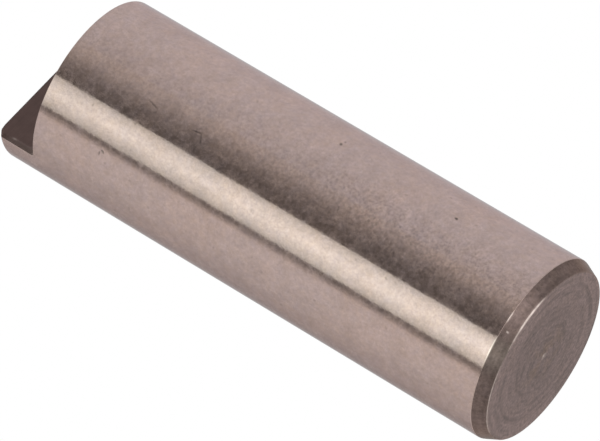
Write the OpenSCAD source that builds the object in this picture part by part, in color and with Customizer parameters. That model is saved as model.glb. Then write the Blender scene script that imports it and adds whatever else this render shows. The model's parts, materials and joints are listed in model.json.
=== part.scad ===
// Planet gear pin: a ground steel shaft that carries a planet gear in its carrier.
// One end is plain, with a long lead-in chamfer, and the pin stands on it.
// The other end is stepped: about half of the shaft is cut away down to a flat, and the
// half-round tab that is left locks against the edge of a keeper plate on the shoulder.
// Millimetres. +Z runs along the shaft, from the plain end face at z = 0 to the tab.
// The flat faces -Y.

/* [Shaft] */
// Diameter of the ground shaft
shaft_d = 25; // [12:0.5:60]
// Length of the full round, from the plain end face to the shoulder
shoulder_z = 69.7; // [30:0.1:200]

/* [Plain end] */
// Length of the lead-in chamfer along the shaft
lead_len = 1.85; // [0.5:0.05:6]
// How far the lead-in chamfer goes in from the shaft's surface
lead_depth = 0.87; // [0.2:0.01:4]

/* [Stepped end] */
// Length of the half-round tab beyond the shoulder
tab_len = 5.9; // [3:0.1:15]
// How far the flat is cut past the shaft's centre line
flat_past_centre = 0.25; // [0:0.05:3]
// Length of the tab's end chamfer along the shaft
tip_len = 0.7; // [0.2:0.05:2]
// How far the tab's end chamfer goes in from the shaft's surface
tip_depth = 0.95; // [0.2:0.05:3]
// Radius that the milling cutter leaves in the corner between flat and shoulder
root_r = 0.4; // [0.1:0.05:1.5]

/* [Hidden] */
$fn = 96;
shaft_r = shaft_d / 2;
total_len = shoulder_z + tab_len;
// The cutter overshoots the shaft by this much on its open sides.
overshoot = 1;

// Half section of the turned shaft with a chamfer at each end, spun about its axis.
module turned_shaft() {
    rotate_extrude()
        polygon([
            [0, 0],
            [shaft_r - lead_depth, 0],
            [shaft_r, lead_len],
            [shaft_r, total_len - tip_len],
            [shaft_r - tip_depth, total_len],
            [0, total_len]
        ]);
}

// Side profile of the metal milled away at the step, with X across the flat and Y along
// the shaft. Its inner corner is rounded by root_r.
module step_profile() {
    depth = shaft_r + flat_past_centre + overshoot;
    height = tab_len + overshoot;
    difference() {
        square([depth, height]);
        difference() {
            square(root_r);
            translate([root_r, root_r]) circle(r = root_r);
        }
    }
}

// The milling cut: the profile is drawn outwards from the flat, towards -Y, and carried
// right across the shaft along X.
module step_cut() {
    width = shaft_d + 2 * overshoot;
    translate([width / 2, flat_past_centre, shoulder_z])
        rotate([90, 0, -90])
            linear_extrude(height = width)
                step_profile();
}

// The finished pin, one piece of steel.
module planet_pin() {
    color([0.67, 0.60, 0.57])
        difference() {
            turned_shaft();
            step_cut();
        }
}

planet_pin();
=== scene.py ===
"""Looks of a planet gear pin: the steel pin in place of its CAD solid, and a small studio round it."""

import json
import math

import bmesh
import bpy
import numpy as np
from bpy.props import FloatProperty, FloatVectorProperty, PointerProperty
from mathutils import Matrix, Quaternion, Vector


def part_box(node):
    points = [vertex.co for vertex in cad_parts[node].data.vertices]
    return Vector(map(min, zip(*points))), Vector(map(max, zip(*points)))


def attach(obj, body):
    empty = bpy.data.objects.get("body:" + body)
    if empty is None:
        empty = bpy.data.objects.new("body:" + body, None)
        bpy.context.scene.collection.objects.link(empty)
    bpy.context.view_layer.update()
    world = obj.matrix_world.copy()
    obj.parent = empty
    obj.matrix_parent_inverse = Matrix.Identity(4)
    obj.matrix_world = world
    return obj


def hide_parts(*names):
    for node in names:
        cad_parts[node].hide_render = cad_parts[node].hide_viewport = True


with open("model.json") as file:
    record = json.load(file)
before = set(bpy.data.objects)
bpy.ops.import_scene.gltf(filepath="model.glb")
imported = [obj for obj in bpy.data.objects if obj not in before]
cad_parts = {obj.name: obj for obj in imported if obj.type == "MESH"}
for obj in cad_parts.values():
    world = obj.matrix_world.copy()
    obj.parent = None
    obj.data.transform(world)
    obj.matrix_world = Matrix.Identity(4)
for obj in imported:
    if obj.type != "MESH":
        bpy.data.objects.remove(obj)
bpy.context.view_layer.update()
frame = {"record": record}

bl_info = {
    "name": "Planet gear pin",
    "version": (1, 0, 0),
    "blender": (4, 5, 0),
    "location": "3D View > Sidebar > Planet pin",
    "description": "Builds a ground steel planet gear pin and a small studio round it",
    "category": "Add Mesh",
}

MM = 0.001

# What the frame says of the pin. Its axis is +Z and its flat faces -Y.
MOUNTS = {mount["name"]: mount for mount in frame["record"]["mounts"]}
SHAFT_R = MOUNTS["journal"]["dims"]["r_mm"] * MM
SHOULDER_Z = MOUNTS["shoulder"]["pos_m"][2]
FLAT_Y = MOUNTS["tab_flat"]["pos_m"][1]
TOTAL_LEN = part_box("planet_pin")[1].z

# The finishes of the pin's surfaces, in the order of its material slots.
GROUND, TURNED_FACE, TURNED_CHAMFER, MILLED = range(4)

# Marks on the shaft: angle round it from +X in degrees, height, half length, half width and depth in
# millimetres, lean of the length from the shaft's direction in degrees, and how dark its dirt is.
SHAFT_MARKS = np.array([
    (286.0, 15.5, 0.26, 0.19, 0.025, 20, 1.00),
    (290.9, 33.8, 0.28, 0.20, 0.040, 70, 0.80),
    (294.6, 33.7, 0.24, 0.12, 0.015, 75, 0.50),
    (209.4, 59.9, 0.34, 0.11, 0.020, 89, 0.70),
    (211.5, 59.5, 0.25, 0.16, 0.030, 32, 0.85),
    (227.0, 37.7, 0.36, 0.30, 0.010, 0, 0.20),
    (252.6, 28.0, 0.36, 0.14, 0.015, 65, 0.45),
    (249.4, 49.2, 0.66, 0.11, 0.006, -9, 0.60),
    (247.0, 48.3, 0.70, 0.11, 0.006, 62, 0.60),
    (240.3, 48.3, 0.52, 0.10, 0.004, 95, 0.40),
    (250.2, 56.2, 1.00, 0.11, 0.006, 16, 0.50),
    (303.5, 29.7, 0.18, 0.14, 0.010, 30, 0.30),
    (306.6, 15.5, 0.20, 0.13, 0.010, -40, 0.30),
])
# Painted glints on the lead-in chamfer: one at a nick in it, and two along its top edge. Each has its
# angle in degrees, height, half width round it and half height in millimetres.
CHAMFER_GLINTS = np.array([
    (241.8, 1.10, 0.13, 0.13),
    (249.9, 1.79, 0.72, 0.12),
    (229.6, 1.84, 1.75, 0.08),
])
# The face's edge is rounded wider and has a painted highlight between these angles, in degrees, and a
# fainter painted highlight between the second ones. Each grows from the first angle to the second and fades
# out from the third to the fourth.
BROAD_HIGHLIT_EDGE = (226.0, 254.0, 264.0, 276.0)
FAINT_HIGHLIT_EDGE = (158.0, 172.0, 212.0, 232.0)

# The shaft is finely pitted between these angles, most between the second and the third. The pits are
# full up to the first height and thin out to half at the second one.
PITTED_SIDE = (238.0, 246.0, 262.0, 292.0)
PITTED_TO = (20 * MM, 48 * MM)

# Height of the brightest spot of the painted highlight on the ridge along the flat's margin, and the height
# where the margin is no longer bright. Above that spot the ridge's painted highlight fades.
RIDGE_HIGHLIGHT_PEAK = 73.2 * MM
MARGIN_TOP = 74.9 * MM

# The margin reaches its full depth this far above the shoulder. The dimple at the face's centre is
# this deep.
MARGIN_RISE = 0.4 * MM
DIMPLE_DEPTH = 0.12 * MM

# How finely the pin is divided: even lines round its cut side and its tab side, even lines along the
# shaft and the tab, and the distance between the extra lines at a mark.
CUT_SIDE_LINES, TAB_SIDE_LINES = 91, 109
SHAFT_LINES, TAB_LINES = 26, 28
MARK_STEP = 0.08 * MM
# How far a mark's extra lines reach, in its own sizes, and how closely the tab's lines crowd towards
# the flat's long edges.
MARK_SPREAD = 1.45
CROWDING = 0.12
# Edges that turn by more than this are broken.
SHARP_ANGLE = math.radians(28)

# Tints of the finishes where they are seen aslant, and the colour of bare steel and of the painted
# highlights.
GROUND_TINT, MILLED_TINT = (0.78, 0.72, 0.72), (0.65, 0.61, 0.60)
FACE_TINT, CHAMFER_TINT = (0.85, 0.8, 0.78), (0.72, 0.64, 0.6)
BARE_STEEL_AND_HIGHLIGHT = (0.82, 0.7, 0.64)
# What the colour is multiplied by in the shaft's cool and warm clouds, and in the brown clouds of the
# turned face and chamfer.
COOL_CLOUD, WARM_CLOUD = (0.985, 1, 1.03), (1.01, 1, 0.965)
BROWN_CLOUD = (0.95, 0.9, 0.74)


def smooth_step(x):
    """0 below 0, 1 above 1, and 3x^2 - 2x^3 between."""
    x = np.clip(x, 0.0, 1.0)
    return x * x * (3.0 - 2.0 * x)


# ---------------------------------------------------------------- sizes and colours


class PinSizes(bpy.types.PropertyGroup):
    """Sizes of the pin's edges and small detail"""

    lead_len: FloatProperty(
        name="Lead-in length", description="Length of the plain end's chamfer along the pin",
        default=1.85 * MM, min=0.5 * MM, max=6 * MM, precision=5, subtype="DISTANCE", unit="LENGTH")
    lead_depth: FloatProperty(
        name="Lead-in depth", description="How far the plain end's chamfer goes in from the shaft",
        default=0.87 * MM, min=0.2 * MM, max=4 * MM, precision=5, subtype="DISTANCE", unit="LENGTH")
    tip_len: FloatProperty(
        name="Tip chamfer length", description="Length of the tab's end chamfer along the pin",
        default=0.7 * MM, min=0.2 * MM, max=2 * MM, precision=5, subtype="DISTANCE", unit="LENGTH")
    tip_depth: FloatProperty(
        name="Tip chamfer depth", description="How far the tab's end chamfer goes in from the shaft",
        default=0.95 * MM, min=0.2 * MM, max=3 * MM, precision=5, subtype="DISTANCE", unit="LENGTH")
    tip_break: FloatProperty(
        name="Tip edge break", description="Reach of the rounding between shaft and tip chamfer",
        default=0.18 * MM, min=0.02 * MM, max=0.6 * MM, precision=5, subtype="DISTANCE", unit="LENGTH")
    end_break: FloatProperty(
        name="Tab end edge break", description="Reach of the rounding between tip chamfer and tab end",
        default=0.25 * MM, min=0.02 * MM, max=0.6 * MM, precision=5, subtype="DISTANCE", unit="LENGTH")
    root_r: FloatProperty(
        name="Root radius", description="Radius in the corner between the flat and the shoulder",
        default=0.4 * MM, min=0.1 * MM, max=1.5 * MM, precision=5, subtype="DISTANCE", unit="LENGTH")
    face_break: FloatProperty(
        name="Face edge break", description="Reach of the rounding between end face and chamfer",
        default=0.09 * MM, min=0.02 * MM, max=0.5 * MM, precision=5, subtype="DISTANCE", unit="LENGTH")
    worn_break: FloatProperty(
        name="Worn edge break", description="Reach of that rounding where the edge is worn",
        default=0.16 * MM, min=0.02 * MM, max=0.5 * MM, precision=5, subtype="DISTANCE", unit="LENGTH")
    lead_break: FloatProperty(
        name="Lead-in edge break", description="Reach of the rounding between chamfer and shaft",
        default=0.1 * MM, min=0.02 * MM, max=0.5 * MM, precision=5, subtype="DISTANCE", unit="LENGTH")
    edge_break: FloatProperty(
        name="Edge break", description="Width of the broken edges round the step",
        default=0.06 * MM, min=0.01 * MM, max=0.3 * MM, precision=5, subtype="DISTANCE", unit="LENGTH")
    margin_width: FloatProperty(
        name="Flat margin width", description="Width of the filed margin along the flat's long edges",
        default=0.6 * MM, min=0.1 * MM, max=1 * MM, precision=5, subtype="DISTANCE", unit="LENGTH")
    margin_depth: FloatProperty(
        name="Flat margin depth", description="How deep the filed margin goes at the flat's edge",
        default=0.16 * MM, min=0, max=0.3 * MM, precision=5, subtype="DISTANCE", unit="LENGTH")
    relief_length: FloatProperty(
        name="Corner relief length", description="Length of the deeper margin next to the shoulder",
        default=1.6 * MM, min=0.5 * MM, max=3 * MM, precision=5, subtype="DISTANCE", unit="LENGTH")
    relief_depth: FloatProperty(
        name="Corner relief depth", description="How much deeper the margin is next to the shoulder",
        default=0.05 * MM, min=0, max=0.6 * MM, precision=5, subtype="DISTANCE", unit="LENGTH")
    ring_pitch: FloatProperty(
        name="Turning ring pitch", description="Distance between the rings left on the end face",
        default=0.6 * MM, min=0.2 * MM, max=2 * MM, precision=5, subtype="DISTANCE", unit="LENGTH")
    ring_depth: FloatProperty(
        name="Turning ring depth", description="Depth of the rings left on the end face",
        default=0.003 * MM, min=0, max=0.05 * MM, precision=6, subtype="DISTANCE", unit="LENGTH")
    centre_r: FloatProperty(
        name="Centre mark radius", description="Radius of the small dimple at the face's centre",
        default=0.3 * MM, min=0.1 * MM, max=1 * MM, precision=5, subtype="DISTANCE", unit="LENGTH")


class PinFinish(bpy.types.PropertyGroup):
    """Colours and gloss of the pin's surfaces"""

    ground: FloatVectorProperty(
        name="Ground steel", description="Colour of the ground shaft",
        default=(0.435, 0.326, 0.292), min=0, max=1, subtype="COLOR")
    ground_cool: FloatVectorProperty(
        name="Ground steel, cooler", description="Colour of the shaft's cooler clouds",
        default=(0.422, 0.322, 0.295), min=0, max=1, subtype="COLOR")
    face: FloatVectorProperty(
        name="Turned face", description="Colour of the turned end face",
        default=(0.147, 0.104, 0.098), min=0, max=1, subtype="COLOR")
    chamfer: FloatVectorProperty(
        name="Turned chamfer", description="Colour of the turned lead-in chamfer",
        default=(0.142, 0.104, 0.094), min=0, max=1, subtype="COLOR")
    milled: FloatVectorProperty(
        name="Milled step", description="Colour of the milled flat and shoulder",
        default=(0.1, 0.067, 0.06), min=0, max=1, subtype="COLOR")
    dirt: FloatVectorProperty(
        name="Dirt", description="Colour of the dirt in pits and scratches",
        default=(0.07, 0.055, 0.045), min=0, max=1, subtype="COLOR")
    ground_rough: FloatProperty(
        name="Ground roughness", description="Roughness of the ground shaft",
        default=0.1, min=0.02, max=1, subtype="FACTOR")


class StudioSettings(bpy.types.PropertyGroup):
    """Camera, floor and light"""

    floor: FloatVectorProperty(
        name="Floor", description="Colour of the floor", default=(0.88, 0.88, 0.88),
        min=0, max=1, subtype="COLOR")
    lens: FloatProperty(
        name="Lens", description="Focal length in millimetres", default=370, min=20, max=800)
    distance: FloatProperty(
        name="Distance", description="From the camera to the aim point", default=0.7625,
        min=0.1, max=5, precision=4, subtype="DISTANCE", unit="LENGTH")
    azimuth: FloatProperty(
        name="Azimuth", description="Where the camera stands round the pin; 0 looks along +Y",
        default=math.radians(-29.166), subtype="ANGLE", unit="ROTATION")
    elevation: FloatProperty(
        name="Elevation", description="Camera above the floor; below it where negative",
        default=math.radians(-22.597), subtype="ANGLE", unit="ROTATION")
    roll: FloatProperty(
        name="Roll", description="Turn of the camera about its line of sight",
        default=math.radians(-59.245), subtype="ANGLE", unit="ROTATION")
    aim: FloatVectorProperty(
        name="Aim point", description="Point at the middle of the picture",
        default=(-0.68 * MM, 0.82 * MM, 36.81 * MM), precision=5, subtype="TRANSLATION", unit="LENGTH")


# ---------------------------------------------------------------- surfaces


def rounded_corner(before, corner, after, reach, steps):
    """A corner between two straight runs, rounded as a quadratic curve.

    The curve starts `reach` before the corner, at A, and ends as far after it, at B:
    P(t) = (1-t)^2 A + 2t(1-t) C + t^2 B, with C the corner and t from 0 to 1.
    """
    before, corner, after = (np.array(p, float) for p in (before, corner, after))
    start = corner + reach * (before - corner) / np.linalg.norm(before - corner)
    end = corner + reach * (after - corner) / np.linalg.norm(after - corner)
    t = np.linspace(0.0, 1.0, steps + 1)[:, None]
    return (1 - t) ** 2 * start + 2 * t * (1 - t) * corner + t**2 * end


def lines_near(centres, reach, low, high, count, step):
    """Grid lines from low to high: `count` even ones, and one every `step` near each centre.

    The lines of a centre run from it minus its reach to it plus its reach. A line less than 0.3
    steps from the one before is left out.
    """
    lines = [np.linspace(low, high, count)]
    for centre, half in zip(centres, reach):
        lines.append(centre + half * np.linspace(-1, 1, 2 * math.ceil(half / step) + 1))
    lines = np.unique(np.round(np.concatenate(lines), 7))
    lines = lines[(lines > low) & (lines < high)]
    spread = np.diff(lines, prepend=low) > 0.3 * step
    return np.concatenate([[low], lines[spread], [high]])


def mark_reach():
    """How far each mark goes round the shaft and along it: its leaning ellipse's half box."""
    lean = np.radians(SHAFT_MARKS[:, 5])
    length, width = SHAFT_MARKS[:, 2] * MM, SHAFT_MARKS[:, 3] * MM
    along = np.hypot(length * np.cos(lean), width * np.sin(lean))
    across = np.hypot(length * np.sin(lean), width * np.cos(lean))
    return MARK_SPREAD * across, MARK_SPREAD * along


def round_shaft(angle, degrees):
    """Distance round the shaft's surface from a place given in degrees, the shorter way."""
    turn = angle - np.radians(degrees)
    return SHAFT_R * np.arctan2(np.sin(turn), np.cos(turn))


def mark_strength(angle, height):
    """Strength of every shaft mark at each point: exp(-q^2).

    q = (a / half length)^2 + (b / half width)^2, with a and b the distances from the mark's centre
    along and across its leaning length, measured on the shaft's surface rolled flat. The result
    has the marks as its first axis.
    """
    marks = SHAFT_MARKS.reshape(SHAFT_MARKS.shape + (1,) * angle.ndim)
    sideways = round_shaft(angle, marks[:, 0])
    up = height - marks[:, 1] * MM
    lean = np.radians(marks[:, 5])
    a = up * np.cos(lean) + sideways * np.sin(lean)
    b = sideways * np.cos(lean) - up * np.sin(lean)
    q = (a / (marks[:, 2] * MM)) ** 2 + (b / (marks[:, 3] * MM)) ** 2
    return np.exp(-np.minimum(q, 30.0) ** 2)


def half_round(u, r, y):
    """Points of a circle of radius r from its right crossing with the line at y to its left one.

    The angle is s + u (pi - 2 s), with s = asin(y / r) the angle of the right crossing.
    """
    start = np.arcsin(y / r)
    angle = start + u * (np.pi - 2 * start)
    return r * np.cos(angle), r * np.sin(angle)


def plain_end_profile(sizes, face_break):
    """Radius and height of the turned end, from the centre of the face to the shaft's surface.

    The face dips by ring_depth (1 - cos(2 pi r / pitch)) / 2 in rings, and by DIMPLE_DEPTH
    (1 - (r / centre_r)^2) at its centre. The chamfer is straight between two rounded corners.
    """
    face_r = SHAFT_R - sizes.lead_depth
    corner = (face_r, 0.0)
    shaft_edge = (SHAFT_R, sizes.lead_len)
    break_arc = rounded_corner((0, 0), corner, shaft_edge, face_break, steps=6)
    top_arc = rounded_corner(corner, shaft_edge, (SHAFT_R, SHOULDER_Z), sizes.lead_break, steps=5)
    dimple = sizes.centre_r * np.array([0.0, 0.35, 0.7, 1.0])
    rings = np.arange(1, int(face_r / sizes.ring_pitch * 2)) * sizes.ring_pitch / 2
    rings = rings[(rings > 1.3 * sizes.centre_r) & (rings < face_r - 0.4 * MM)]
    r = np.concatenate([dimple, rings, [break_arc[0, 0] - 0.03 * MM]])
    z = sizes.ring_depth * (1 - np.cos(2 * np.pi * r / sizes.ring_pitch)) / 2
    z += DIMPLE_DEPTH * np.clip(1 - (r / sizes.centre_r) ** 2, 0, 1)
    face = np.column_stack([r, z])
    t = np.concatenate([[0.02], np.linspace(0, 1, 12)[1:-1]])[:, None]
    chamfer = (1 - t) * break_arc[-1] + t * top_arc[0]
    rows = np.concatenate([face, break_arc, chamfer, top_arc])
    finish = np.full(len(rows) - 1, TURNED_CHAMFER)
    finish[: len(face)] = TURNED_FACE
    finish[1 - len(top_arc) :] = GROUND
    return rows, finish


def within(angle, limits):
    """1 between the middle two of four angles round the pin, fading to 0 at the outer two.

    It is s((a - a0) / (a1 - a0)) s((a3 - a) / (a3 - a2)), with s the smooth step and a0 to a3 the
    limits, which are given in degrees.
    """
    begin, full, ebb, end = np.radians(limits)
    angle = np.mod(angle, 2 * np.pi)
    return smooth_step((angle - begin) / (full - begin)) * smooth_step((end - angle) / (end - ebb))


def margin_profile(sizes, height):
    """Width and depth of the filed margin of the flat at each height.

    The depth starts from nothing at the shoulder and grows in a quarter circle, to its full value
    at MARGIN_RISE. Next to the shoulder it is deeper by relief_depth (1 - s(h / relief_length)),
    h being the height above it and s the smooth step, and the margin is wider there by as much as
    keeps its slope.
    """
    above = height - SHOULDER_Z
    relief = 1 - smooth_step(above / sizes.relief_length)
    start = np.sqrt(1 - (1 - np.clip(above / MARGIN_RISE, 0, 1)) ** 2)
    depth = (sizes.margin_depth + sizes.relief_depth * relief) * start
    width = sizes.margin_width * (1 + sizes.relief_depth / sizes.margin_depth * relief)
    return width, depth


def spin(rows, angles):
    """Surface of revolution: every (radius, height) row carried round Z through the angles."""
    r, z = rows[:, 0, None], rows[:, 1, None]
    return np.stack([r * np.cos(angles), r * np.sin(angles), z + 0 * angles], axis=-1)


def shaft_grid(angles, low):
    """The shaft from the height low to the shoulder, with more rows at its marks.

    It sinks at each mark by the mark's depth times its strength.
    """
    _, along = mark_reach()
    heights = lines_near(SHAFT_MARKS[:, 1] * MM, along, low, SHOULDER_Z, SHAFT_LINES, MARK_STEP)
    shaft = spin(np.column_stack([np.full_like(heights, SHAFT_R), heights]), angles)
    strength = mark_strength(angles[None, :], heights[:, None])
    sink = (strength * SHAFT_MARKS[:, 4, None, None] * MM).max(axis=0)
    shaft[..., :2] *= (1 - sink / SHAFT_R)[..., None]
    return shaft


def tab_profile(sizes):
    """Rows of the tab from the shoulder to its end, and the finish of its outside's bands.

    A row is a radius, a height and the y of the flat there. The flat starts in a quarter circle of
    the root radius, and the tip chamfer starts and ends in rounded corners.
    """
    turn = np.linspace(math.pi / 2, 0, 7)
    root_rows = np.column_stack([
        np.full_like(turn, SHAFT_R),
        SHOULDER_Z + sizes.root_r * (1 - np.sin(turn)),
        FLAT_Y - sizes.root_r + sizes.root_r * np.cos(turn)])
    tip = (SHAFT_R - sizes.tip_depth, TOTAL_LEN)
    chamfer_start = (SHAFT_R, TOTAL_LEN - sizes.tip_len)
    tip_arc = rounded_corner((SHAFT_R, SHOULDER_Z), chamfer_start, tip, sizes.tip_break, steps=6)
    end_arc = rounded_corner(tip_arc[-1], tip, (0, TOTAL_LEN), sizes.end_break, steps=6)
    heights = np.linspace(root_rows[-1, 1], tip_arc[0, 1], TAB_LINES)[1:-1]
    straight = np.column_stack([np.full_like(heights, SHAFT_R), heights])
    outside = np.concatenate([straight, tip_arc, end_arc])
    flat_rows = np.column_stack([outside, np.full(len(outside), FLAT_Y)])
    rows = np.concatenate([root_rows, flat_rows])
    chamfer_from = len(root_rows) + len(straight) + len(tip_arc) // 2
    finish = np.where(np.arange(len(rows) - 1) < chamfer_from, GROUND, TURNED_CHAMFER)
    return rows, finish


def tab_grids(sizes, rows, u):
    """The tab's outside and its flat, which share their rows and columns.

    At each height they meet where the circle of radius r crosses the line y + depth, and the flat
    runs at y + depth (1 - d / width), held at y, with d the distance from that edge and depth and
    width the margin's.
    """
    r, z, y = (rows[:, i, None] for i in range(3))
    width, depth = margin_profile(sizes, z)
    x_outside, y_outside = half_round(u, r, y + depth)
    half = np.sqrt(r**2 - (y + depth) ** 2)
    x_flat = half * (1 - 2 * u)
    from_edge = (half - np.abs(x_flat)) / width
    y_flat = y + depth * (1 - np.clip(from_edge, 0, 1))
    outside = np.stack([x_outside, y_outside, z + 0 * u], axis=-1)
    flat = np.stack([x_flat, y_flat, z + 0 * u], axis=-1)
    return outside, flat


def pin_surfaces(sizes):
    """The pin as grids of points with the finish of each grid's bands, and its two flat outlines.

    The full round is spun, its face's edge running between a sharp and a worn profile by the
    wear. Its columns stand closer at the marks, and the tab's at the flat's long edges:
    u(t) = t - CROWDING sin(2 pi t). The outlines close the shoulder and the tab's end.
    """
    root_angle = math.asin((FLAT_Y - sizes.root_r) / SHAFT_R)
    across, _ = mark_reach()
    cut_side = lines_near(
        np.radians(SHAFT_MARKS[:, 0]), across / SHAFT_R,
        math.pi - root_angle, 2 * math.pi + root_angle, CUT_SIDE_LINES, MARK_STEP / SHAFT_R)
    t = np.linspace(0, 1, TAB_SIDE_LINES)
    u = t - CROWDING * np.sin(2 * np.pi * t)
    tab_side = root_angle + u * (math.pi - 2 * root_angle)
    angles = np.concatenate([tab_side, cut_side[1:]])

    end_rows, end_finish = plain_end_profile(sizes, sizes.face_break)
    worn_rows, _ = plain_end_profile(sizes, sizes.worn_break)
    wear = within(angles, BROAD_HIGHLIT_EDGE)[:, None]
    plain_end = (1 - wear) * spin(end_rows, angles) + wear * spin(worn_rows, angles)
    shaft = shaft_grid(angles, end_rows[-1, 1])
    tab_rows, outside_finish = tab_profile(sizes)
    tab_outside, tab_flat = tab_grids(sizes, tab_rows, u)
    grids = [
        (plain_end, end_finish),
        (shaft, np.full(len(shaft) - 1, GROUND)),
        (tab_outside, outside_finish),
        (tab_flat, np.full(len(tab_rows) - 1, MILLED)),
    ]
    shoulder = np.concatenate([shaft[-1, len(u) - 1 :], tab_flat[0, 1:-1]])
    tab_end = np.concatenate([tab_outside[-1], tab_flat[-1, ::-1][1:-1]])
    outlines = [(shoulder, MILLED), (tab_end, TURNED_FACE)]
    return grids, outlines


def grid_quads(rows, cols, first):
    """Corner numbers of the quads of a grid whose points are counted row by row from first."""
    corner = first + np.arange(rows - 1)[:, None] * cols + np.arange(cols - 1)
    return np.stack([corner, corner + 1, corner + cols + 1, corner + cols], axis=-1).reshape(-1, 4)


def welded_mesh(name, grids, outlines):
    """One closed mesh of the grids and flat outlines, its shared points merged, faces outward."""
    points, faces, finish, first = [], [], [], 0
    for grid, bands in grids:
        rows, cols = grid.shape[:2]
        points.append(grid.reshape(-1, 3))
        faces += grid_quads(rows, cols, first).tolist()
        finish.append(np.repeat(bands, cols - 1))
        first += rows * cols
    for outline, kind in outlines:
        points.append(outline)
        faces.append(list(range(first, first + len(outline))))
        finish.append(np.array([kind]))
        first += len(outline)
    mesh = bpy.data.meshes.new(name)
    mesh.from_pydata(np.concatenate(points), [], faces)
    mesh.polygons.foreach_set("material_index", np.concatenate(finish).astype(np.int32))
    work = bmesh.new()
    work.from_mesh(mesh)
    bmesh.ops.remove_doubles(work, verts=work.verts, dist=0.0005 * MM)
    bmesh.ops.recalc_face_normals(work, faces=work.faces)
    work.to_mesh(mesh)
    work.free()
    return mesh


def painted_chamfer_glints(sizes, angle, z):
    """Brightness of the painted glints on the lead-in chamfer: 0.6 exp(-q^2) for each.

    q = (a / half width)^2 + (b / half height)^2, with a and b the distances round the pin and up
    from the glint's centre.
    """
    turn, middle, across, along = (CHAMFER_GLINTS[:, i, None] for i in range(4))
    a = round_shaft(angle, turn) / (across * MM)
    b = (z - middle * MM) / (along * MM)
    strength = np.exp(-np.minimum(a**2 + b**2, 5) ** 2)
    return 0.6 * strength.max(axis=0) * (z < sizes.lead_len + 1 * MM)


def rim_bare_and_highlight(sizes, angle, radius, z):
    """Faint bare steel all round the face's edge, with painted highlights on two arcs of it: its strength
    times exp(-(d / width)^4), d from the edge.

    Its width is about the reach of its rounding. The painted highlight is strong where the rounding is
    wider, and faint on the second arc.
    """
    highlit_arc = within(angle, BROAD_HIGHLIT_EDGE)
    width = 0.95 * (sizes.face_break + (sizes.worn_break - sizes.face_break) * highlit_arc)
    to_edge = np.hypot(radius - (SHAFT_R - sizes.lead_depth), z) / width
    # Bare steel all round at 0.06; above that, painted highlight on the two arcs.
    bare_steel_and_highlights = 0.06 + 0.86 * highlit_arc + 0.34 * within(angle, FAINT_HIGHLIT_EDGE)
    return np.exp(-np.minimum(to_edge, 2) ** 4) * bare_steel_and_highlights


def centre_shine(sizes, radius, z):
    """How bare the dimple at the face's centre is: 0.7 exp(-(r / 0.85 centre_r)^2)."""
    from_centre = np.minimum(radius / (0.85 * sizes.centre_r), 3)
    return 0.7 * np.exp(-(from_centre**2)) * (z < sizes.lead_len)


def margin_bare_and_ridge_highlight(sizes, x, y, z):
    """How bare the flat's filed margin is, and a broken painted highlight on the ridge along its inner side.

    Both are faint. The margin is a little brighter next to the shoulder, and the ridge's painted highlight
    is brightest in a spot at one height.
    """
    width, _ = margin_profile(sizes, z)
    on_flat = (z > SHOULDER_Z + 0.05 * MM) & (np.abs(y - FLAT_Y) < 0.5 * MM)
    from_edge = (np.sqrt(np.maximum(SHAFT_R**2 - y**2, 0)) - np.abs(x)) / width
    filed = 0.055 + 0.05 * smooth_step((SHOULDER_Z + 1.2 * MM - z) / (1 * MM))
    margin = smooth_step(3 * (1.2 - from_edge)) * smooth_step((MARGIN_TOP - z) / (1.6 * MM)) * filed
    highlight_spot = np.exp(-((z - RIDGE_HIGHLIGHT_PEAK) / (0.3 * MM)) ** 2)
    broken = 0.05 * smooth_step((RIDGE_HIGHLIGHT_PEAK - z) / (0.6 * MM) + 1) + 0.16 * highlight_spot
    # The painted highlight along the ridge.
    ridge = np.exp(-np.minimum(((from_edge - 1.05) / 0.25) ** 2, 30)) * broken
    return on_flat * np.maximum(margin, ridge)


def pitting(angle, z):
    """How pitted the shaft is at an angle and a height, by PITTED_SIDE and PITTED_TO."""
    low, high = PITTED_TO
    return within(angle, PITTED_SIDE) * (0.5 + 0.5 * smooth_step((high - z) / (high - low)))


def write_wear_and_highlights(mesh, sizes):
    """Point attributes "stain", "bare" and "pitted": how dirty, bright and pitted the steel is. The bright
    places are bare steel in some spots and painted highlights in others.

    Stain is the strongest of the shaft's marks, each times how dark its dirt is, and bare the strongest of
    the bright places, bare steel and painted highlights alike.
    """
    place = np.empty(len(mesh.vertices) * 3)
    mesh.vertices.foreach_get("co", place)
    x, y, z = place.reshape(-1, 3).T
    angle, radius = np.arctan2(y, x), np.hypot(x, y)
    on_shaft = radius > 0.97 * SHAFT_R
    dirt = mark_strength(angle, z) * SHAFT_MARKS[:, 6, None]
    bare_steel_and_highlights = [
        painted_chamfer_glints(sizes, angle, z),
        rim_bare_and_highlight(sizes, angle, radius, z),
        centre_shine(sizes, radius, z),
        margin_bare_and_ridge_highlight(sizes, x, y, z),
    ]
    wear = {
        "stain": dirt.max(axis=0) * on_shaft,
        "bare_and_highlight": np.maximum.reduce(bare_steel_and_highlights),
        "pitted": pitting(angle, z) * on_shaft,
    }
    for name, values in wear.items():
        layer = mesh.attributes.new(name, "FLOAT", "POINT")
        layer.data.foreach_set("value", values.astype(np.float32))


# ---------------------------------------------------------------- materials


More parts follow.
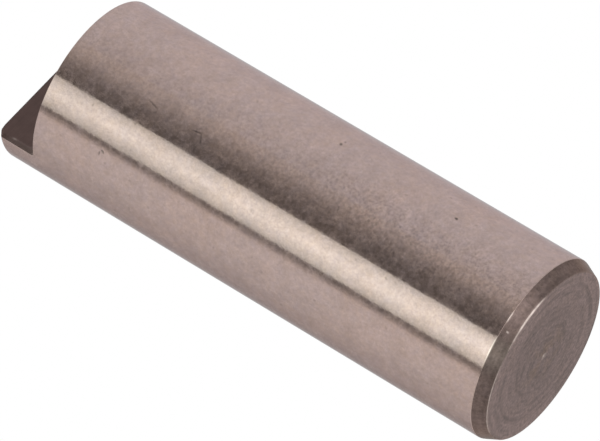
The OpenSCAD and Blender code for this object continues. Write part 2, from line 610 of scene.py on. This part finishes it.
class Nodes:
    """Short way to lay out the nodes of one material or world."""

    def __init__(self, owner):
        owner.use_nodes = True
        self.tree = owner.node_tree
        self.tree.nodes.clear()

    def add(self, kind, inputs=(), **settings):
        """A node of that kind. inputs gives a value or another node's socket for each input."""
        made = self.tree.nodes.new(kind)
        for name, value in settings.items():
            setattr(made, name, value)
        for name, value in dict(inputs).items():
            if isinstance(value, bpy.types.NodeSocket):
                self.tree.links.new(value, made.inputs[name])
            else:
                made.inputs[name].default_value = value
        return made

    def math(self, operation, a, b=0.0, clamp=False):
        """One operation, such as a sum or a product, on two numbers or sockets."""
        return self.add("ShaderNodeMath", {0: a, 1: b}, operation=operation, use_clamp=clamp).outputs[0]

    def mix(self, factor, a, b, blend="MIX"):
        """Colour a mixed with colour b by a factor. The node's colour sockets are its 6 and 7."""
        made = self.add("ShaderNodeMix", {0: factor, 6: a, 7: b}, data_type="RGBA", blend_type=blend)
        return made.outputs[2]

    def noise(self, vector, scale, detail=2.0, roughness=0.5):
        """Cloudy noise between about 0 and 1, with 1 / scale metres to a cloud."""
        inputs = {"Vector": vector, "Scale": scale, "Detail": detail, "Roughness": roughness}
        return self.add("ShaderNodeTexNoise", inputs).outputs["Fac"]

    def span(self, value, low, high, from_low=0.3, from_high=0.7):
        """value carried from one range to another, and held at its ends."""
        inputs = {"Value": value, "From Min": from_low, "From Max": from_high, "To Min": low, "To Max": high}
        return self.add("ShaderNodeMapRange", inputs).outputs["Result"]

    def grey(self, value):
        """A number as a grey colour."""
        return self.add("ShaderNodeCombineColor", {"Red": value, "Green": value, "Blue": value}).outputs[0]

    def ramp(self, factor, stops):
        """Grey ramp through (place, value) stops."""
        made = self.add("ShaderNodeValToRGB", {"Fac": factor})
        elements = made.color_ramp.elements
        while len(elements) < len(stops):
            elements.new(0.5)
        for element, (place, value) in zip(elements, stops):
            element.position = place
            element.color = (value, value, value, 1)
        return made.outputs["Color"]


def rgba(colour):
    """A colour property with alpha 1."""
    return (*colour, 1.0)


def worn_and_highlit(n, place, colour, finish):
    """The colour with ragged dirt in the marks, and bare steel and painted highlights in the bright places.
    """
    stain = n.add("ShaderNodeAttribute", attribute_name="stain").outputs["Fac"]
    stain = n.math("MULTIPLY", stain, n.span(n.noise(place, 4500, 1), 0.5, 1.2), clamp=True)
    bare_and_highlight = n.add("ShaderNodeAttribute", attribute_name="bare_and_highlight").outputs["Fac"]
    bare_and_highlight = n.math("MULTIPLY", bare_and_highlight, n.span(n.noise(place, 1300, 2), 0.65, 1.2), clamp=True)
    colour = n.mix(stain, colour, rgba(finish.dirt))
    return n.mix(bare_and_highlight, colour, rgba(BARE_STEEL_AND_HIGHLIGHT))


def steel(n, colour, edge_tint, roughness, height, reach):
    """A bare metal surface from its colour, its tint where it is seen aslant, roughness and bump."""
    bump = n.add("ShaderNodeBump", {"Height": height, "Strength": 1.0, "Distance": reach})
    shader = n.add("ShaderNodeBsdfPrincipled", {
        "Base Color": colour, "Metallic": 1.0, "Specular Tint": rgba(edge_tint), "Roughness": roughness,
        "Normal": bump.outputs["Normal"]})
    n.add("ShaderNodeOutputMaterial", {"Surface": shader.outputs["BSDF"]})
    return shader


def specks(n, place):
    """Small dark specks, ragged at their edges: 1 where one of the scattered points is near."""
    near = n.add("ShaderNodeTexVoronoi", {"Vector": place, "Scale": 420.0}).outputs["Distance"]
    ragged = n.math("ADD", near, n.span(n.noise(place, 7000, 1), -0.05, 0.05))
    return n.span(ragged, 1, 0, 0.04, 0.09)


def ground_steel(finish):
    """Ground shaft: satin grain, faint grinding lines round it, clouds of two tints, pits and specks.

    Its film of oxide makes it rougher and a little less metallic in places.
    """
    material = bpy.data.materials.new("ground_steel")
    n = Nodes(material)
    place = n.add("ShaderNodeTexCoord").outputs["Object"]
    tint = n.span(n.noise(place, 110, 3, 0.6), 0, 1, 0.42, 0.58)
    cloud = n.noise(place, 420, 4, 0.65)
    dabs = n.noise(place, 1900, 3, 0.7)
    grain = n.noise(place, 5200, 2, 0.6)
    waves = n.noise(place, 230, 1, 0.5)
    flattened = n.add("ShaderNodeMapping", {"Vector": place, "Scale": (60, 60, 5000)}).outputs["Vector"]
    lines = n.noise(flattened, 1, 2, 0.6)
    colour = n.mix(tint, rgba(finish.ground), rgba(finish.ground_cool))
    shade = n.math("MULTIPLY", n.span(cloud, 0.92, 1.08), n.span(dabs, 0.9, 1.1))
    shade = n.math("MULTIPLY", shade, n.span(grain, 0.95, 1.05))
    pitted = n.add("ShaderNodeAttribute", attribute_name="pitted").outputs["Fac"]
    pits = n.span(n.noise(place, 2300, 3, 0.75), 0.1, -0.26, 0.4, 0.68)
    pits = n.math("MULTIPLY", pits, pitted)
    shade = n.math("MULTIPLY", shade, n.math("ADD", 1.0, pits))
    colour = n.mix(1.0, colour, n.grey(shade), "MULTIPLY")
    warmth = n.span(n.noise(place, 900, 3, 0.6), 0, 1)
    colour = n.mix(1.0, colour, n.mix(warmth, rgba(COOL_CLOUD), rgba(WARM_CLOUD)), "MULTIPLY")
    colour = n.mix(n.math("MULTIPLY", specks(n, place), 0.3), colour, rgba(finish.dirt))
    film = n.noise(place, 1000, 5, 0.8)
    rough = n.math("MULTIPLY", n.span(film, 0.85, 1.5, 0.42, 0.7), finish.ground_rough)
    height = n.math("ADD", n.math("MULTIPLY", dabs, 5.0), n.math("MULTIPLY", waves, 14.0))
    height = n.math("ADD", height, n.math("MULTIPLY", grain, 0.8))
    height = n.math("ADD", height, n.math("MULTIPLY", lines, 0.15))
    shader = steel(n, worn_and_highlit(n, place, colour, finish), GROUND_TINT, rough, height, 0.0012 * MM)
    n.tree.links.new(n.span(film, 1, 0.76, 0.42, 0.7), shader.inputs["Metallic"])
    return material


def turning(n, place):
    """Radius and patterns of a turned surface: fine uneven rings, and arcs of darker oxide.

    The patterns are noise read at (direction from the axis x reach, radius), so they run round the
    axis. The rings' reach is 0, and the arcs' is short, which breaks them up round the circle.
    """
    flat = n.add("ShaderNodeVectorMath", {0: place, 1: (1, 1, 0)}, operation="MULTIPLY").outputs[0]
    radius = n.add("ShaderNodeVectorMath", {0: flat}, operation="LENGTH").outputs["Value"]
    way = n.add("ShaderNodeVectorMath", {0: flat}, operation="NORMALIZE").outputs[0]
    short = n.add("ShaderNodeVectorMath", {0: way, "Scale": 1.0 * MM}, operation="SCALE").outputs[0]
    along = n.add("ShaderNodeCombineXYZ", {"Z": radius}).outputs[0]
    arcs = n.add("ShaderNodeVectorMath", {0: short, 1: along}, operation="ADD").outputs[0]
    return radius, n.noise(along, 2600, 2, 0.7), n.noise(arcs, 1300, 4, 0.6)


def turned_steel(name, colour, edge_tint, finish, roughness, mottle):
    """Turned surface: fine rings about the pin's axis, with arcs and clouds of darker oxide.

    mottle is how strong its grain and arcs are. It is lighter towards its rim and browner towards
    its centre.
    """
    material = bpy.data.materials.new(name)
    n = Nodes(material)
    place = n.add("ShaderNodeTexCoord").outputs["Object"]
    radius, rings, arcs = turning(n, place)
    cloud = n.noise(place, 600, 4, 0.7)
    grain = n.noise(place, 2300, 3, 0.7)
    grainy = n.span(grain, 1 - 0.32 * mottle, 1 + 0.32 * mottle)
    shade = n.math("MULTIPLY", n.span(cloud, 0.84, 1.16), grainy)
    shade = n.math("MULTIPLY", shade, n.span(rings, 0.88, 1.12))
    shade = n.math("MULTIPLY", shade, n.span(arcs, 1 + 0.06 * mottle, 1 - 0.26 * mottle, 0.46, 0.68))
    shade = n.math("MULTIPLY", shade, n.span(radius, 0.88, 1.1, 6 * MM, 10.8 * MM))
    made = n.mix(1.0, rgba(colour), n.grey(shade), "MULTIPLY")
    brown = n.span(n.noise(place, 420, 3, 0.6), 0, 1, 0.45, 0.62)
    brown = n.math("MULTIPLY", brown, n.span(radius, 1, 0.2, 2 * MM, 5 * MM))
    made = n.mix(brown, made, n.mix(1.0, made, rgba(BROWN_CLOUD), "MULTIPLY"))
    height = n.math("ADD", n.math("MULTIPLY", rings, 0.6), grain)
    rough = n.math("MULTIPLY", n.span(cloud, 0.9, 1.1), roughness)
    steel(n, worn_and_highlit(n, place, made, finish), edge_tint, rough, height, 0.0014 * MM)
    return material


def milled_steel(finish):
    """Milled step, darkened by heat: cutter lines along X and cloudy oxide."""
    material = bpy.data.materials.new("milled_steel")
    n = Nodes(material)
    place = n.add("ShaderNodeTexCoord").outputs["Object"]
    drawn = n.add("ShaderNodeMapping", {"Vector": place, "Scale": (120, 3500, 3500)}).outputs["Vector"]
    lines = n.noise(drawn, 1, 2, 0.6)
    cloud = n.noise(place, 500, 4, 0.6)
    grain = n.noise(place, 5000, 2, 0.6)
    shade = n.math("MULTIPLY", n.span(cloud, 0.88, 1.12), n.span(lines, 0.93, 1.07))
    made = n.mix(1.0, rgba(finish.milled), n.grey(shade), "MULTIPLY")
    height = n.math("ADD", lines, n.math("MULTIPLY", grain, 0.5))
    rough = n.span(cloud, 0.3, 0.4)
    steel(n, worn_and_highlit(n, place, made, finish), MILLED_TINT, rough, height, 0.002 * MM)
    return material


# ---------------------------------------------------------------- studio

# Panels round the pin that only its reflections see. Each is a band of a wide ring: the heights of
# its lower and upper edge in metres, its tint, how far its pattern turns round the ring above
# TURN_HEIGHT in degrees, and its brightness at angles from the camera's azimuth in degrees. White
# is 1.
TURN_HEIGHT = (0.29, 0.34)
NEUTRAL, SKY = (1, 1, 1, 1), (0.97, 0.975, 1, 1)
WARM, COOL = (1, 0.98, 0.955, 1), (0.915, 1, 0.955, 1)
PANELS = {
    "left_screen": (0.1, 0.6, NEUTRAL, 0, [
        (-180, 0.58), (-150, 0.6), (-136, 0.69), (-82, 0.98), (-59, 1.0)]),
    "black_edge": (-0.6, 0.6, WARM, 0, [
        (-59, 1.0), (-56, 0.84), (-53, 0.52), (-50.5, 0.31), (-46.5, 0.27)]),
    "strip_light": (-0.6, 0.6, COOL, 0, [
        (-46.5, 1.2), (-40, 1.62), (-31, 2.2), (-26, 2.34), (-16, 1.9), (-9.3, 1.38)]),
    "dark_flag": (-0.2, 0.6, WARM, 6, [(-9.3, 0.2), (2, 0.185), (18, 0.36), (30, 0.61), (40, 0.75)]),
    "right_screen": (-0.2, 0.6, SKY, 0, [(40, 0.78), (75, 0.96), (120, 1.02), (130, 1.0)]),
    "right_back_screen": (0.1, 0.6, SKY, 0, [(130, 1.0), (150, 0.93), (180, 0.55)]),
}
# The strip light's brightness at shares of its height.
STRIP_FADE = [(0.0, 0.5), (0.22, 0.64), (0.5, 0.95), (0.69, 0.93), (0.79, 0.82), (1.0, 0.5)]
# Soft patches, mostly below the pin's foot, seen only in reflections too: start and end round the
# pin from the camera's azimuth and lower and upper elevation in degrees, and brightness.
LOW_LIGHTS = {
    "low_light": (0, 58, -48, -18, 2.35),
    "right_shade": (62, 146, -36, 12, 0.76),
    "left_shade": (-160, -60, -40, 8, 0.82),
}
# Radii of the panels' ring, of the patches' dome and of the floor, in metres. The floor's hole is
# hidden under the pin's end face.
PANEL_R, PATCH_R, FLOOR_R = 0.6, 0.5, 3.0
FLOOR_HOLE_R = 0.92 * SHAFT_R
# The floor fades to white between these distances from the pin, in metres.
FLOOR_FADE = (0.15, 0.7)
# Brightness of the world where neither the camera nor a reflection sees it, and the place, the width
# in metres and the watts of the lamp over the floor.
WORLD_DIM = 0.5
LAMP_PLACE, LAMP_WIDTH, LAMP_WATTS = (-0.5, -0.45, 0.9), 0.45, 9.0


def ring_band(start, end, radius, low, high):
    """Part of an upright cylinder from one azimuth to another: x = r sin a, y = -r cos a."""
    a, z = np.meshgrid(np.linspace(start, end, 25), np.linspace(low, high, 9))
    return np.stack([radius * np.sin(a), -radius * np.cos(a), z], axis=-1)


def dome_patch(start, end, low, high, radius):
    """Part of a sphere about the pin's foot: x = r sin a cos e, y = -r cos a cos e, z = r sin e."""
    a, e = np.meshgrid(np.linspace(start, end, 25), np.linspace(low, high, 25))
    return radius * np.stack([np.sin(a) * np.cos(e), -np.cos(a) * np.cos(e), np.sin(e)], axis=-1)


def floor_disc(inner, outer):
    """Flat ring about the pin's foot; its radius grows as inner (outer / inner)^t."""
    t, a = np.meshgrid(np.linspace(0, 1, 25), np.linspace(0, 2 * np.pi, 97))
    r = inner * (outer / inner) ** t
    return np.stack([r * np.cos(a), r * np.sin(a), 0 * r], axis=-1)


def stage_object(name, grid, material):
    """A grid as a piece of the stage, with UV running 0 to 1 along its columns and rows."""
    rows, cols = grid.shape[:2]
    mesh = bpy.data.meshes.new(name)
    mesh.from_pydata(grid.reshape(-1, 3), [], grid_quads(rows, cols, 0).tolist())
    u, v = np.meshgrid(np.linspace(0, 1, cols), np.linspace(0, 1, rows))
    corner = np.empty(len(mesh.loops), np.int32)
    mesh.loops.foreach_get("vertex_index", corner)
    layer = mesh.uv_layers.new(name="UVMap")
    uv = np.column_stack([u.ravel(), v.ravel()])[corner]
    layer.data.foreach_set("uv", uv.astype(np.float32).ravel())
    mesh.materials.append(material)
    made = bpy.data.objects.new(name, mesh)
    bpy.context.scene.collection.objects.link(made)
    return made


def seen_only_in_reflections(panel):
    """Leaves a panel out of the picture, the shadows and the light on the floor."""
    panel.visible_camera = False
    panel.visible_diffuse = False
    panel.visible_shadow = False
    panel.visible_transmission = False
    panel.visible_volume_scatter = False


def panel_material(name, tint, stops, turn, fades):
    """Light that varies round the panel as the stops say, and up it where it fades.

    turn gives the pattern's turn round the panel, as a share of its width, and the heights where
    the turn begins and is complete, as shares of the panel's height.
    """
    material = bpy.data.materials.new(name)
    n = Nodes(material)
    split = n.add("ShaderNodeSeparateXYZ", {"Vector": n.add("ShaderNodeTexCoord").outputs["UV"]})
    angles = np.array([angle for angle, _ in stops])
    places = (angles - angles[0]) / (angles[-1] - angles[0])
    strength = max(value for _, value in stops)
    shift, begin, end = turn
    across = n.math("ADD", split.outputs["X"], n.span(split.outputs["Y"], 0, shift, begin, end))
    glow = n.ramp(across, [(p, value / strength) for p, (_, value) in zip(places, stops)])
    glow = n.mix(1.0, glow, tint, "MULTIPLY")
    if fades:
        glow = n.mix(1.0, glow, n.ramp(split.outputs["Y"], STRIP_FADE), "MULTIPLY")
    light = n.add("ShaderNodeEmission", {"Color": glow, "Strength": strength})
    n.add("ShaderNodeOutputMaterial", {"Surface": light.outputs[0]})
    return material


def low_light_material(name, strength):
    """Soft light from below: brightest in its middle, and clear at its edges."""
    material = bpy.data.materials.new(name)
    n = Nodes(material)
    split = n.add("ShaderNodeSeparateXYZ", {"Vector": n.add("ShaderNodeTexCoord").outputs["UV"]})
    soft = []
    for way in ("X", "Y"):
        inward = n.math("MULTIPLY", split.outputs[way], n.math("SUBTRACT", 1.0, split.outputs[way]))
        soft.append(n.span(inward, 0, 1, 0.0, 0.25))
    light = n.add("ShaderNodeEmission", {"Color": (1, 1, 1, 1), "Strength": strength})
    clear = n.add("ShaderNodeBsdfTransparent")
    shown = n.math("MULTIPLY", *soft)
    both = n.add("ShaderNodeMixShader", {0: shown, 1: clear.outputs[0], 2: light.outputs[0]})
    n.add("ShaderNodeOutputMaterial", {"Surface": both.outputs[0]})
    return material


def floor_material(studio):
    """Pale floor that fades to white far out, and is clear where it is seen from below."""
    material = bpy.data.materials.new("pale_floor")
    n = Nodes(material)
    place = n.add("ShaderNodeTexCoord").outputs["Object"]
    away = n.add("ShaderNodeVectorMath", {0: place}, operation="LENGTH").outputs["Value"]
    fade = {"Value": away, "From Min": FLOOR_FADE[0], "From Max": FLOOR_FADE[1]}
    far = n.add("ShaderNodeMapRange", fade, interpolation_type="SMOOTHSTEP")
    matt = n.add("ShaderNodeBsdfDiffuse", {"Color": rgba(studio.floor)})
    white = n.add("ShaderNodeEmission", {"Color": (1, 1, 1, 1), "Strength": 1.0})
    top = n.add("ShaderNodeMixShader", {0: far.outputs[0], 1: matt.outputs[0], 2: white.outputs[0]})
    clear = n.add("ShaderNodeBsdfTransparent")
    below = n.add("ShaderNodeNewGeometry").outputs["Backfacing"]
    both = n.add("ShaderNodeMixShader", {0: below, 1: top.outputs[0], 2: clear.outputs[0]})
    n.add("ShaderNodeOutputMaterial", {"Surface": both.outputs[0]})
    return material


def white_world():
    """World that is white to the camera and to reflections, and a dimmer light on the floor."""
    world = bpy.data.worlds.new("white_studio")
    bpy.context.scene.world = world
    n = Nodes(world)
    path = n.add("ShaderNodeLightPath")
    seen = n.math("MAXIMUM", path.outputs["Is Camera Ray"], path.outputs["Is Glossy Ray"])
    seen = n.math("MAXIMUM", seen, path.outputs["Is Transmission Ray"])
    strength = n.span(seen, WORLD_DIM, 1.0, 0.0, 1.0)
    sky = n.add("ShaderNodeBackground", {"Color": (1, 1, 1, 1), "Strength": strength})
    n.add("ShaderNodeOutputWorld", {"Surface": sky.outputs[0]})


def key_lamp():
    """Square lamp above the pin that lights the floor and casts the pin's soft shadow."""
    lamp = bpy.data.objects.new("key_lamp", bpy.data.lights.new("key_lamp", "AREA"))
    lamp.data.size = LAMP_WIDTH
    lamp.data.energy = LAMP_WATTS
    lamp.location = LAMP_PLACE
    lamp.rotation_euler = Vector(LAMP_PLACE).to_track_quat("Z", "Y").to_euler()
    lamp.visible_glossy = False
    bpy.context.scene.collection.objects.link(lamp)


def camera(studio):
    """Camera that looks at the aim point from its azimuth and elevation, rolled about its view."""
    cam = bpy.data.objects.new("camera", bpy.data.cameras.new("camera"))
    cam.data.lens = studio.lens
    cam.data.clip_start = 0.01
    cam.data.clip_end = 20
    a, e = studio.azimuth, studio.elevation
    back = Vector((math.sin(a) * math.cos(e), -math.cos(a) * math.cos(e), math.sin(e)))
    turn = (-back).to_track_quat("-Z", "Y") @ Quaternion((0, 0, 1), studio.roll)
    cam.matrix_world = Matrix.LocRotScale(Vector(studio.aim) + back * studio.distance, turn, None)
    bpy.context.scene.collection.objects.link(cam)
    bpy.context.scene.camera = cam


# ---------------------------------------------------------------- operators and panel


class PLANETPIN_OT_build_pin(bpy.types.Operator):
    """Build the steel pin in place of its CAD solid"""

    bl_idname = "planet_pin.build_pin"
    bl_label = "Planet pin"
    bl_options = {"REGISTER", "UNDO"}

    def execute(self, context):
        sizes, finish = context.scene.planet_pin_sizes, context.scene.planet_pin_finish
        mesh = welded_mesh("pin_steel", *pin_surfaces(sizes))
        write_wear_and_highlights(mesh, sizes)
        mesh.shade_smooth()
        for material in (
            ground_steel(finish),
            turned_steel("turned_face_steel", finish.face, FACE_TINT, finish, 0.3, 1.5),
            turned_steel("turned_chamfer_steel", finish.chamfer, CHAMFER_TINT, finish, 0.28, 0.75),
            milled_steel(finish),
        ):
            mesh.materials.append(material)
        pin = bpy.data.objects.new("pin_steel", mesh)
        context.scene.collection.objects.link(pin)
        bevel = pin.modifiers.new("edge_break", "BEVEL")
        bevel.width = sizes.edge_break
        bevel.segments = 2
        bevel.limit_method = "ANGLE"
        bevel.angle_limit = SHARP_ANGLE
        bevel.use_clamp_overlap = False
        bevel.harden_normals = True
        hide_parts("planet_pin")
        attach(pin, "root")
        return {"FINISHED"}


class PLANETPIN_OT_build_studio(bpy.types.Operator):
    """Build the floor, the light and the camera"""

    bl_idname = "planet_pin.build_studio"
    bl_label = "Studio"
    bl_options = {"REGISTER", "UNDO"}

    def execute(self, context):
        studio = context.scene.planet_pin_studio
        floor = floor_disc(FLOOR_HOLE_R, FLOOR_R)
        floor = stage_object("pale_floor", floor, floor_material(studio))
        floor.visible_glossy = False
        for name, (low_edge, high_edge, tint, turn, stops) in PANELS.items():
            start, end = (studio.azimuth + math.radians(stops[i][0]) for i in (0, -1))
            band = ring_band(start, end, PANEL_R, low_edge, high_edge)
            begin, full = ((height - low_edge) / (high_edge - low_edge) for height in TURN_HEIGHT)
            shift = (turn / (stops[-1][0] - stops[0][0]), begin, full)
            material = panel_material(name, tint, stops, shift, fades=name == "strip_light")
            seen_only_in_reflections(stage_object(name, band, material))
        for name, (*angles, strength) in LOW_LIGHTS.items():
            start, end, low_edge, high_edge = (math.radians(angle) for angle in angles)
            start, end = studio.azimuth + start, studio.azimuth + end
            patch = dome_patch(start, end, low_edge, high_edge, PATCH_R)
            seen_only_in_reflections(stage_object(name, patch, low_light_material(name, strength)))
        white_world()
        key_lamp()
        camera(studio)
        context.scene.view_settings.view_transform = "Standard"
        return {"FINISHED"}


class PLANETPIN_PT_panel(bpy.types.Panel):
    """Sizes, colours and buttons of the planet pin"""

    bl_idname = "PLANETPIN_PT_panel"
    bl_label = "Planet pin"
    bl_space_type = "VIEW_3D"
    bl_region_type = "UI"
    bl_category = "Planet pin"

    def draw(self, context):
        for group in ("planet_pin_sizes", "planet_pin_finish", "planet_pin_studio"):
            settings = getattr(context.scene, group)
            box = self.layout.box()
            for name in settings.bl_rna.properties.keys():
                if name not in ("rna_type", "name"):
                    box.prop(settings, name)
        for operator in OPERATORS:
            self.layout.operator(operator.bl_idname)


GROUPS = {
    "planet_pin_sizes": PinSizes,
    "planet_pin_finish": PinFinish,
    "planet_pin_studio": StudioSettings,
}
OPERATORS = (PLANETPIN_OT_build_pin, PLANETPIN_OT_build_studio)


def register():
    """Registers the settings, operators and panel."""
    for cls in (*GROUPS.values(), *OPERATORS, PLANETPIN_PT_panel):
        bpy.utils.register_class(cls)
    for name, group in GROUPS.items():
        setattr(bpy.types.Scene, name, PointerProperty(type=group))


def unregister():
    """Takes away what register() added."""
    for name in GROUPS:
        delattr(bpy.types.Scene, name)
    for cls in (PLANETPIN_PT_panel, *OPERATORS, *GROUPS.values()):
        bpy.utils.unregister_class(cls)


def main():
    """Registers the add-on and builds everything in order."""
    register()
    bpy.ops.planet_pin.build_pin()
    bpy.ops.planet_pin.build_studio()


if __name__ == "__main__":
    main()
